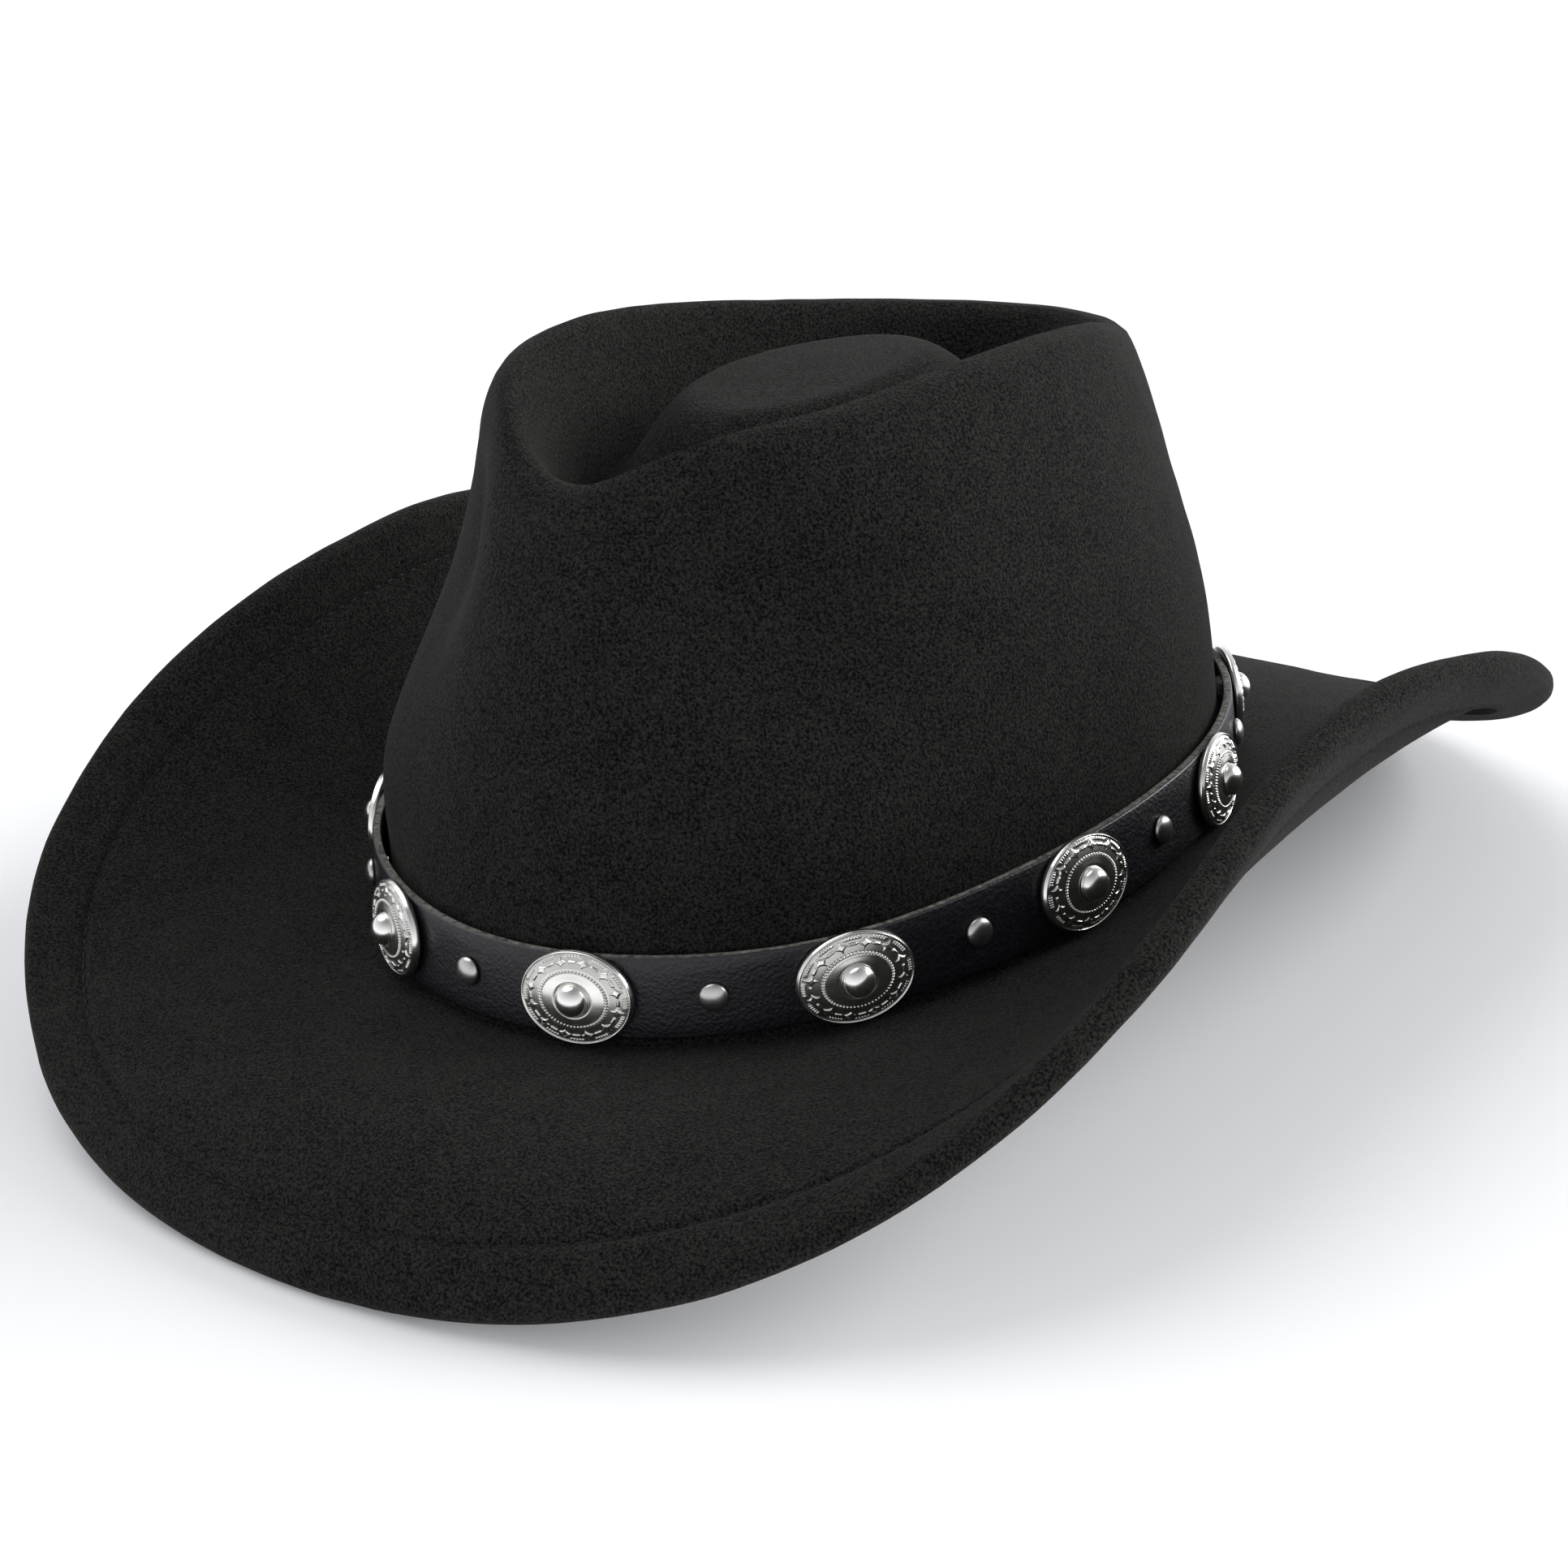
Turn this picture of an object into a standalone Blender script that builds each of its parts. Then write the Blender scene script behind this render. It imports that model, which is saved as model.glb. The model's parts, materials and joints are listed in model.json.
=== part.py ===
"""A western felt hat: teardrop crown, curled brim with a wired hem, and a leather band with conchos.

The front of the hat is -Y, the wearer's left is +X, and the hat stands on z = 0 on its hem.
Angles round the hat start at the front and grow towards +X. Lengths are millimetres until a mesh is made.
"""

from math import cos, pi, radians, sin

import bmesh
import bpy
import numpy as np
from mathutils import Matrix, Vector

METRE = 0.001

# Crown: the oval that the felt's middle follows where the crown meets the brim
HALF_LENGTH = 103.2
HALF_WIDTH = 84.0
FELT = 2.2
AROUND = 60
BASE_HEIGHT = 22.4
BASE_SIDE_RISE = 4.1
BASE_NOD = 2.7
CREASE_DEPTH = 25.0
VALLEY_SHARE = 0.78
DOME_RISE = 22.0
DOME_CENTRE = (0.0, 5.0)
PINCH_DEPTH = 10.5
PINCH_ANGLE = radians(40)
BELLY = 4.5
BACK_FULLNESS = 2.2
NEAR_DIP = 4.4
CORNER_RISE = 4.2
DOME_SHOULDER = 0.36

# Brim and hem
FOLD_RADIUS = 2.2
HEM_WIDTH = 12.5
MEAN_BRIM_WIDTH = 73.5
WIRE_RADIUS = 0.7
CURVE_STEPS = 48
FORE_AFT_SHIFT = -0.7

# Hat band: strap, conchos and rivets
STRAP_WIDTH = 16.8
STRAP_THICK = 2.0
STRAP_FOOT = 4.3
STRAP_STANDOFF = 2.5
GAP = 0.3
CONCHOS = 11
FIRST_CONCHO = -33.0
OVERLAP = 24.0
RAMP = 11.0
CONCHO_SIZE = (24.5, 19.5)
POST_RADIUS = 1.5
HOLE_RADIUS = 2.0
FLANGE_RADIUS = 3.4
FLANGE_THICK = 0.7
RIVET_RADIUS = 3.0

# Sweatband
SWEATBAND_HEIGHT = 30.0
SWEATBAND_THICK = 1.0


def clear_scene():
    for old in list(bpy.data.objects):
        bpy.data.objects.remove(old, do_unlink=True)


# ---- Where the felt goes -------------------------------------------------------------------------


def bell(value, centre, width):
    return np.exp(-(((value - centre) / width) ** 2))


def turn_from(angle, centre):
    """Signed angle from centre, between -pi and pi."""
    return (angle - centre + pi) % (2 * pi) - pi


def oval(angle):
    """Point of the crown's base oval, and the unit vector that points out from it."""
    angle = np.asarray(angle, float)
    reach = 1 / np.hypot(np.sin(angle) / HALF_WIDTH, np.cos(angle) / HALF_LENGTH)
    point = np.stack([reach * np.sin(angle), -reach * np.cos(angle)], -1)
    out = point / np.array([HALF_WIDTH, HALF_LENGTH]) ** 2
    return point, out / np.linalg.norm(out, axis=-1, keepdims=True)


def base_height(angle):
    return BASE_HEIGHT + BASE_SIDE_RISE * np.sin(angle) ** 2 - BASE_NOD * np.cos(angle)


def brim_width(angle):
    return 74.2 + 2.0 * np.cos(angle) + 4.2 * np.cos(2 * angle) - 0.6 * np.cos(4 * angle)


def slope_at_crown(angle):
    return np.radians(7.8 + 4.0 * np.cos(angle) - 8.0 * np.cos(2 * angle) + 5.2 * np.cos(3 * angle))


def slope_at_rim(angle):
    wave = 23.9 - 12.9 * np.cos(angle) - 67.7 * np.cos(2 * angle) - 5.5 * np.cos(3 * angle)
    dip = 10.0 * bell(abs(turn_from(angle, 0)), radians(152), radians(20))
    return np.radians(wave - 8.4 * np.cos(4 * angle) - dip)


def brim(angle, share):
    """Middle of the felt at a share of the brim's width, with the outward and the upward directions there."""
    angle = np.asarray(angle, float)
    power = 1.88 + 0.61 * np.cos(2 * angle)
    way = np.linspace(0, share, CURVE_STEPS + 1)[:, None]
    slope = slope_at_crown(angle) + (slope_at_rim(angle) - slope_at_crown(angle)) * way**power
    step = brim_width(angle) * share / CURVE_STEPS
    run = (np.cos(slope[1:]) + np.cos(slope[:-1])).sum(0) / 2 * step
    rise = (np.sin(slope[1:]) + np.sin(slope[:-1])).sum(0) / 2 * step
    point, out = oval(angle)
    plan = point + run[:, None] * out
    middle = np.column_stack([plan, base_height(angle) + rise])
    last = slope[-1][:, None]
    along = np.column_stack([np.cos(last) * out, np.sin(last)])
    up = np.column_stack([-np.sin(last) * out, np.cos(last)])
    return middle, along, up


def crest(angle):
    """The crown's top edge, round the outside of the teardrop crease."""
    x = 1.8 + 46.6 * np.sin(angle) - 5.5 * np.sin(2 * angle) - 0.5 * np.sin(3 * angle)
    y = 3.6 - 86.0 * np.cos(angle) + 9.3 * np.cos(2 * angle) + 1.2 * np.cos(3 * angle)
    z = 130.7 + 5.7 * np.cos(angle) - 8.2 * np.cos(2 * angle) - 2.3 * np.cos(3 * angle)
    z = z - NEAR_DIP * bell(turn_from(angle, radians(68)), 0, radians(24))
    z = z + CORNER_RISE * bell(turn_from(angle, radians(118)), 0, radians(22))
    return np.column_stack([x, y, z])


def wall(angle, share):
    """Crown side at a share of the way up from the brim to the crest."""
    angle = np.asarray(angle, float)
    point, out = oval(angle)
    foot = np.column_stack([point, base_height(angle)])
    top = crest(angle)
    bulge = 1 - (1 - share**2.4) ** (1 / 2.4)
    inward = 0.6 * share**1.2 + 0.4 * bulge
    middle = foot + (top - foot) * np.array([inward, inward, share])
    pinch = bell(abs(turn_from(angle, 0)), PINCH_ANGLE, radians(18))
    dent = pinch * (PINCH_DEPTH * bell(share, 0.74, 0.2) - BELLY * bell(share, 0.32, 0.16))
    dent -= BACK_FULLNESS * bell(turn_from(angle, radians(130)), 0, radians(35)) * bell(share, 0.4, 0.25)
    middle[:, :2] -= dent[:, None] * out
    return middle


def smooth(low, high, value):
    share = np.clip((value - low) / (high - low), 0, 1)
    return share * share * (3 - 2 * share)


def crease(angle, share):
    """Top of the crown, from the middle of the dome (0) over the crease to the crest (1)."""
    top = crest(angle)
    centre = np.array([*DOME_CENTRE, top[:, 2].mean()])
    middle = centre + (top - centre) * share
    middle[:, 2] = centre[2] + (top[:, 2] - centre[2]) * share**3
    depth = CREASE_DEPTH * smooth(1.0, VALLEY_SHARE, share) - DOME_RISE * smooth(VALLEY_SHARE, DOME_SHOULDER, share)
    middle[:, 2] -= depth
    return middle


def corner(angle, share):
    """The rounded bend where the crown side turns out into the brim."""
    high, low = wall(angle, 0.05), brim(angle, 0.07)[0]
    point, _ = oval(angle)
    bend = np.column_stack([point, base_height(angle)])
    return (1 - share) ** 2 * high + 2 * share * (1 - share) * bend + share**2 * low


def fold(angle, turn):
    """The felt as it rolls under round the wire; turn runs from 0 on top to pi below."""
    middle, along, up = brim(angle, 1.0)
    centre = middle - FOLD_RADIUS * up
    return centre + FOLD_RADIUS * (cos(turn) * up + sin(turn) * along)


def under_hem(angle, share):
    """The turned-under layer, from the fold (0) to its raw edge (1)."""
    back = (HEM_WIDTH - FOLD_RADIUS) / MEAN_BRIM_WIDTH * share
    middle, _, up = brim(angle, 1 - back)
    drop = 2 * FOLD_RADIUS + (FELT + 0.4 - 2 * FOLD_RADIUS) * smooth(0, 1, share)
    return middle - drop * up


def felt_rows(angle):
    """Rings of the felt's middle, from the top of the crown to the hem's raw edge."""
    rows = [crease(angle, s) for s in (0.2, 0.4, 0.6, 0.76, 0.89, 1.0)]
    rows += [wall(angle, s) for s in (0.97, 0.9, 0.78, 0.64, 0.48, 0.32, 0.17, 0.05)]
    rows += [corner(angle, s) for s in (0.35, 0.65)]
    rows += [brim(angle, s)[0] for s in (0.07, 0.24, 0.42, 0.58, 0.72, 0.86, 1.0)]
    rows += [fold(angle, turn) for turn in np.linspace(0, pi, 7)[1:]]
    rows += [under_hem(angle, s) for s in (0.5, 1.0)]
    rows = np.array(rows)
    rows[..., 1] += FORE_AFT_SHIFT
    return rows


def normals_of(rows):
    """Unit normals of a grid of rings, out of the crown and up from the brim."""
    down = np.gradient(rows, axis=0)
    down[1:-1] = rows[2:] - rows[:-2]
    across = np.roll(rows, -1, axis=1) - np.roll(rows, 1, axis=1)
    normal = np.cross(down, across)
    return normal / np.linalg.norm(normal, axis=-1, keepdims=True)


# ---- Meshes --------------------------------------------------------------------------------------


def material(name, colour, roughness, metallic=0.0):
    made = bpy.data.materials.new(name)
    made.use_nodes = True
    shader = made.node_tree.nodes["Principled BSDF"]
    shader.inputs["Base Color"].default_value = (*colour, 1.0)
    shader.inputs["Roughness"].default_value = roughness
    shader.inputs["Metallic"].default_value = metallic
    return made


def add_object(name, mesh, finish, sharp=radians(40)):
    mesh.materials.append(finish)
    mesh.shade_smooth()
    mesh.set_sharp_from_angle(angle=sharp)
    made = bpy.data.objects.new(name, mesh)
    bpy.context.collection.objects.link(made)
    return made


def skin_rings(rings, closed_section=False, cap_ends=False):
    """Mesh through rings of points, in millimetres; each ring is closed round the hat."""
    bm = bmesh.new()
    grid = [[bm.verts.new(Vector(p) * METRE) for p in ring] for ring in rings]
    pairs = list(zip(grid, grid[1:]))
    if closed_section:
        pairs.append((grid[-1], grid[0]))
    for upper, lower in pairs:
        for i in range(len(upper)):
            j = (i + 1) % len(upper)
            bm.faces.new((upper[i], lower[i], lower[j], upper[j]))
    if cap_ends:
        for ring, sign in ((grid[0], -1), (grid[-1], 1)):
            middle = sum((v.co for v in ring), Vector()) / len(ring)
            hub = bm.verts.new(middle)
            for i in range(len(ring)):
                j = (i + 1) % len(ring)
                bm.faces.new((hub, ring[j], ring[i]) if sign > 0 else (hub, ring[i], ring[j]))
    bmesh.ops.recalc_face_normals(bm, faces=bm.faces)
    mesh = bpy.data.meshes.new("skin")
    bm.to_mesh(mesh)
    bm.free()
    return mesh


def turned(profile, sides, stretch=1.0):
    """Closed solid turned about Z from (radius, height) points, lowest first, in millimetres."""
    angles = [2 * pi * i / sides for i in range(sides)]
    rings = [[(r * cos(a), r * stretch * sin(a), z) for a in angles] for r, z in profile]
    return skin_rings(rings, cap_ends=True)


# ---- Pieces --------------------------------------------------------------------------------------


def make_felt_body(finish):
    angle = np.linspace(0, 2 * pi, AROUND, endpoint=False)
    rows = felt_rows(angle)
    normal = normals_of(rows)
    outer = rows + FELT / 2 * normal
    inner = rows - FELT / 2 * normal
    rings = np.concatenate([outer, inner[::-1]])
    rings[..., 2] = np.maximum(rings[..., 2], 0)
    return add_object("felt_body", skin_rings(rings, cap_ends=True), finish)


def make_brim_wire(finish):
    angle = np.linspace(0, 2 * pi, AROUND, endpoint=False)
    middle, along, up = brim(angle, 1.0)
    centre = middle - FOLD_RADIUS * up
    turns = [2 * pi * k / 6 for k in range(6)]
    rings = np.array([centre + WIRE_RADIUS * (cos(t) * up + sin(t) * along) for t in turns])
    rings[..., 1] += FORE_AFT_SHIFT
    return add_object("brim_wire", skin_rings(rings, closed_section=True), finish)


def wall_at(angle, height, offset):
    """Point beside the crown side: so far above its foot and so far out from the felt's middle."""
    angle = np.asarray(angle, float)
    tall = (crest(angle)[:, 2] - base_height(angle))[:, None]
    _, out = oval(angle)
    lower, upper = wall(angle, 0.05), wall(angle, 0.2)
    share = (height / tall - 0.05) / 0.15
    middle = lower + (upper - lower) * share
    middle[:, :2] += np.reshape(offset, (-1, 1)) * out
    middle[:, 1] += FORE_AFT_SHIFT
    return middle


def make_sweatband(finish):
    angle = np.linspace(0, 2 * pi, AROUND, endpoint=False)
    face = -FELT / 2 - 0.6
    section = [
        (1.0, face),
        (SWEATBAND_HEIGHT, face - 0.6),
        (SWEATBAND_HEIGHT, face - 0.6 - SWEATBAND_THICK),
        (1.0, face - SWEATBAND_THICK),
    ]
    rings = [wall_at(angle, h, off) for h, off in section]
    return add_object("sweatband", skin_rings(rings, closed_section=True), finish)


class BandPath:
    """Turns a distance along the crown's foot, from the front towards +X, into a place on the strap."""

    def __init__(self):
        self.angles = np.linspace(-2 * pi, 2 * pi, 2881)
        point, _ = oval(self.angles)
        steps = np.linalg.norm(np.diff(point, axis=0), axis=1)
        self.lengths = np.concatenate([[0], np.cumsum(steps)])
        self.lengths -= self.lengths[len(self.lengths) // 2]
        self.round = self.lengths[-1]
        self.pitch = self.round / CONCHOS
        self.join = FIRST_CONCHO + 6 * self.pitch

    def angle(self, length):
        return np.interp(length, self.lengths, self.angles)

    def lift(self, length):
        """How far the strap stands out where its outer end passes over its inner one."""
        start = self.join - OVERLAP / 2 - RAMP
        return (STRAP_THICK + GAP) * smooth(start, start + RAMP, length)

    def place(self, length, height, offset):
        angle = self.angle(np.atleast_1d(np.asarray(length, float)))
        return wall_at(angle, height, offset + self.lift(length))

    def frame(self, length, offset):
        """Matrix on the line square to the strap at its middle height: X along the strap, Y up it, Z out."""
        middle = STRAP_FOOT + STRAP_WIDTH / 2
        if length > self.join + OVERLAP / 2:
            length -= self.round
        back = STRAP_STANDOFF
        here = self.place(length, middle, back)[0]
        along = self.place(length + 1, middle, back)[0] - self.place(length - 1, middle, back)[0]
        upward = self.place(length, middle + 4, back)[0] - self.place(length, middle - 4, back)[0]
        x = Vector(along).normalized()
        z = x.cross(Vector(upward)).normalized()
        y = z.cross(x)
        turn = Matrix((x, y, z)).transposed().to_4x4()
        shift = Matrix.Translation((0, 0, (offset - back) * METRE))
        return Matrix.Translation(Vector(here) * METRE) @ turn @ shift


def make_strap(path, finish):
    first = path.join - path.round - OVERLAP / 2
    last = path.join + OVERLAP / 2
    stations = np.linspace(first, last, AROUND + 13)
    foot, head = STRAP_FOOT, STRAP_FOOT + STRAP_WIDTH
    near, far = STRAP_STANDOFF, STRAP_STANDOFF + STRAP_THICK
    section = [(foot, near), (foot, far), (head, far), (head, near)]
    lines = [path.place(stations, h, off) for h, off in section]
    rings = [[line[i] for line in lines] for i in range(len(stations))]
    return add_object("hat_band", skin_rings(rings, cap_ends=True), finish)


def cut_holes(strap, path, places):
    """One hole through the strap for each post, all made by a single Boolean."""
    bm = bmesh.new()
    for length in places:
        start = path.frame(length, STRAP_STANDOFF - 4)
        bmesh.ops.create_cone(
            bm,
            cap_ends=True,
            segments=10,
            radius1=HOLE_RADIUS * METRE,
            radius2=HOLE_RADIUS * METRE,
            depth=16 * METRE,
            matrix=start @ Matrix.Translation((0, 0, 2 * METRE)),
        )
    mesh = bpy.data.meshes.new("hole_cutter")
    bm.to_mesh(mesh)
    bm.free()
    cutter = bpy.data.objects.new("hole_cutter", mesh)
    bpy.context.collection.objects.link(cutter)
    cutter.hide_render = True
    cutter.display_type = "WIRE"
    cut = strap.modifiers.new("post_holes", "BOOLEAN")
    cut.operation = "DIFFERENCE"
    cut.object = cutter


def concho_profile():
    """(radius, height) along the longer half axis: flat back, thick edge, stamped field and middle dome."""
    edge = CONCHO_SIZE[0] / 2
    dome = 0.28 * edge
    return [
        (edge - 0.5, 0.0),
        (edge, 0.8),
        (edge - 0.6, 2.0),
        (dome, 2.2),
        (dome * 0.85, 3.4),
        (dome * 0.45, 4.3),
    ]


def post_profile(length):
    return [
        (FLANGE_RADIUS, 0.0),
        (FLANGE_RADIUS, FLANGE_THICK),
        (POST_RADIUS, FLANGE_THICK),
        (POST_RADIUS, length),
    ]


def cap_profile():
    return [
        (RIVET_RADIUS - 0.2, 0.0),
        (RIVET_RADIUS, 0.5),
        (RIVET_RADIUS * 0.8, 1.4),
        (RIVET_RADIUS * 0.4, 1.85),
    ]


def hang(name, mesh, finish, frame):
    made = add_object(name, mesh, finish)
    made.matrix_world = frame
    return made


def make_studs(path, silver, nickel):
    """Conchos and rivet caps on the strap's face, and the flanged posts that come through from behind."""
    behind = STRAP_STANDOFF - GAP - FLANGE_THICK
    face = STRAP_STANDOFF + STRAP_THICK
    through = face - behind
    stretch = CONCHO_SIZE[1] / CONCHO_SIZE[0]
    places = []
    for i in range(CONCHOS):
        number = f"{i + 1:02d}"
        at = FIRST_CONCHO + (i - 4) * path.pitch
        joins = abs(at - path.join) < 1
        depth = STRAP_THICK + GAP if joins else 0.0
        concho = turned(concho_profile(), 18, stretch)
        hang(f"concho_{number}", concho, silver, path.frame(at, face + GAP))
        screw = turned(post_profile(through + depth), 8)
        hang(f"concho_screw_{number}", screw, nickel, path.frame(at, behind - depth))
        halfway = at + path.pitch / 2
        cap = turned(cap_profile(), 12)
        hang(f"rivet_cap_{number}", cap, nickel, path.frame(halfway, face + GAP))
        post = turned(post_profile(through), 8)
        hang(f"rivet_post_{number}", post, nickel, path.frame(halfway, behind))
        places += [at, halfway]
    return places


def main():
    clear_scene()
    felt = material("wool felt", (0.012, 0.012, 0.012), 0.95)
    leather = material("black leather", (0.010, 0.011, 0.014), 0.42)
    cotton = material("cotton tape", (0.015, 0.015, 0.015), 0.9)
    steel = material("spring steel", (0.35, 0.35, 0.36), 0.4, 1.0)
    silver = material("cast silver plate", (0.72, 0.72, 0.70), 0.22, 1.0)
    nickel = material("satin nickel", (0.55, 0.55, 0.56), 0.3, 1.0)
    make_felt_body(felt)
    make_brim_wire(steel)
    make_sweatband(cotton)
    path = BandPath()
    strap = make_strap(path, leather)
    cut_holes(strap, path, make_studs(path, silver, nickel))


main()
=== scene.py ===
# %% [markdown]
# # A western felt hat with a concho band
# The hat is blocked wool felt: a teardrop crown with a front pinch, and a brim curled up at the sides.
# The brim's edge is turned under round a wire and stitched. Round the crown's foot lies a leather strap
# with eleven oval conchos and eleven small rivets.
#
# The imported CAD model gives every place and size. Here each visible piece is made again with the detail
# that the real one shows, and rides on its CAD body. The front of the hat is -Y and +X is its left side.

# %% Load the frame
from math import cos, pi, radians, sin

import bmesh
import bpy
import numpy as np
from mathutils import Matrix, Vector, noise
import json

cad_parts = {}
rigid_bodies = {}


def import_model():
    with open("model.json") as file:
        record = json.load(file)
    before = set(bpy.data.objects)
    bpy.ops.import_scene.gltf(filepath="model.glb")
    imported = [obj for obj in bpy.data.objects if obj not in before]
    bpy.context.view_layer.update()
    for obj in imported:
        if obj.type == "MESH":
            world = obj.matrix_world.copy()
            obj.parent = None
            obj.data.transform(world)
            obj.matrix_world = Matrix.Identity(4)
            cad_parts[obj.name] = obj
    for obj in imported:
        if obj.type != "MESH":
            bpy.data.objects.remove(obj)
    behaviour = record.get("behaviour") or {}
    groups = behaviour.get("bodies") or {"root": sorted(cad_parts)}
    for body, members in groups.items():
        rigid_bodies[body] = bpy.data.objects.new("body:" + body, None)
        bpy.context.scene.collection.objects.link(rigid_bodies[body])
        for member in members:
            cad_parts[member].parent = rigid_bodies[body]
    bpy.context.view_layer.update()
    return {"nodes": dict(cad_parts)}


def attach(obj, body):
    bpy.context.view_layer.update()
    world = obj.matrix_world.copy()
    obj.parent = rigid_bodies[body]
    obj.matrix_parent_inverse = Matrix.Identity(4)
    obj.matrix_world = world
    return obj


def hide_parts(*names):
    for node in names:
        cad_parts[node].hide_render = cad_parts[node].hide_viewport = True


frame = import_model()
METRE = 0.001

# %% [markdown]
# ## Camera
# The hat is seen from the front and a little to its left, from somewhat above, as one looks at a hat on
# a table. A fairly long lens at 0.73 m keeps the crown and the near brim in natural proportion. The
# camera is also rolled a little about its own line of sight, which leans the whole hat by a few degrees.

# %% Place the camera
AZIMUTH, ELEVATION, ROLL = radians(39.96), radians(22.96), radians(-4.52)
DISTANCE, FOCAL_LENGTH, SENSOR = 0.7331, 74.42, 36.0
TARGET = Vector((-0.0095, 0.0005, 0.0324))

away = Vector((sin(AZIMUTH) * cos(ELEVATION), -cos(AZIMUTH) * cos(ELEVATION), sin(ELEVATION)))
lens = bpy.data.cameras.new("camera")
lens.lens, lens.sensor_width = FOCAL_LENGTH, SENSOR
camera = bpy.data.objects.new("camera", lens)
facing = away.to_track_quat("Z", "Y").to_matrix().to_4x4()
camera.matrix_world = Matrix.Translation(TARGET + DISTANCE * away) @ facing @ Matrix.Rotation(ROLL, 4, "Z")
bpy.context.collection.objects.link(camera)
scene = bpy.context.scene
scene.camera = camera
scene.view_settings.view_transform = "Standard"
print("camera at", [round(v, 3) for v in camera.matrix_world.translation])

# %% [markdown]
# ## Materials: one helper and one colour function
# Every finish is a Principled shader with a few nodes in front of it. `node` adds one node with its
# settings and links, so that a material reads from top to bottom like a recipe. Colours are written as
# the hex values that a paint program shows, and `linear` turns them into the light that Blender needs.

# %% Shader helpers
def linear(hex_colour, alpha=1.0):
    parts = [int(hex_colour[i : i + 2], 16) / 255 for i in (1, 3, 5)]
    return (*[p / 12.92 if p <= 0.04045 else ((p + 0.055) / 1.055) ** 2.4 for p in parts], alpha)


def node(tree, kind, settings=None, inputs=None, links=None):
    """Adds a node: settings are its own properties, inputs its socket values, links (socket, source)."""
    made = tree.nodes.new(kind)
    for name, value in (settings or {}).items():
        setattr(made, name, value)
    for name, value in (inputs or {}).items():
        made.inputs[name].default_value = value
    for name, source in (links or {}).items():
        tree.links.new(source, made.inputs[name])
    return made


def new_material(name, **values):
    """A Principled material; values are its sockets, written with underscores for spaces."""
    made = bpy.data.materials.new(name)
    made.use_nodes = True
    shader = made.node_tree.nodes["Principled BSDF"]
    for socket, value in values.items():
        shader.inputs[socket.replace("_", " ")].default_value = value
    return made, made.node_tree, shader


def per_metre(millimetres):
    """Texture scale at which one cell of a pattern is that many millimetres wide."""
    return 1000 / millimetres


print("mid grey #808080 in linear light:", round(linear("#808080")[0], 3))

# %% [markdown]
# ## Wool felt
# Felt is a mat of crimped wool fibres, pressed and then brushed. It has no thread and no shine: what
# the eye sees is a cloud of short fibres that catch light where the surface turns away, so the edges of
# the hat look paler than its middle. Sheen gives that pale edge. The fibres bunch in tufts of about
# 0.6 mm, drawn as fine noise in colour and bump, and a wider, fainter noise gives the uneven nap.

# %% Felt
TUFT_SIZE, NAP_SIZE, NAP_SHARE = 0.6, 9.0, 0.12


def wool_felt():
    made, tree, shader = new_material(
        "wool_felt_charcoal",
        Roughness=1.0,
        Specular_IOR_Level=0.1,
        Sheen_Weight=0.045,
        Sheen_Roughness=0.36,
        Sheen_Tint=linear("#e2dfda"),
    )
    place = node(tree, "ShaderNodeTexCoord")
    tuft = node(tree, "ShaderNodeTexNoise",
                inputs={"Scale": per_metre(TUFT_SIZE), "Detail": 2.0, "Roughness": 0.7},
                links={"Vector": place.outputs["Object"]})
    nap = node(tree, "ShaderNodeTexNoise",
               inputs={"Scale": per_metre(NAP_SIZE), "Detail": 3.0, "Roughness": 0.6, "Distortion": 0.6},
               links={"Vector": place.outputs["Object"]})
    mixed = node(tree, "ShaderNodeMath", {"operation": "MULTIPLY_ADD"}, {1: NAP_SHARE},
                 {0: nap.outputs["Fac"], 2: tuft.outputs["Fac"]})
    tone = node(tree, "ShaderNodeValToRGB", links={"Fac": mixed.outputs[0]})
    tone.color_ramp.elements[0].position = 0.42
    tone.color_ramp.elements[0].color = linear("#040404")
    tone.color_ramp.elements[1].position = 0.72
    tone.color_ramp.elements[1].color = linear("#302f2d")
    tree.links.new(tone.outputs["Color"], shader.inputs["Base Color"])
    fuzz = node(tree, "ShaderNodeBump", inputs={"Strength": 1.0, "Distance": 0.35 * METRE},
                links={"Height": tuft.outputs["Fac"]})
    tree.links.new(fuzz.outputs["Normal"], shader.inputs["Normal"])
    return made


FELT = wool_felt()
print("felt:", FELT.name, "with tufts of", TUFT_SIZE, "mm")

# %% [markdown]
# ## Leather
# The strap is chrome-tanned leather with a pebbled face. The pebbles are about 0.8 mm across, rounded,
# with narrow valleys between them, which Voronoi cells give. A blue-black finish is sprayed on the
# face, semi-gloss, so it has a thin coat. The cut edge is bare: fibrous, matt and much paler.

# %% Leather face and cut edge
PEBBLE_SIZE, FIBRE_SIZE = 0.8, 1.3


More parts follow.
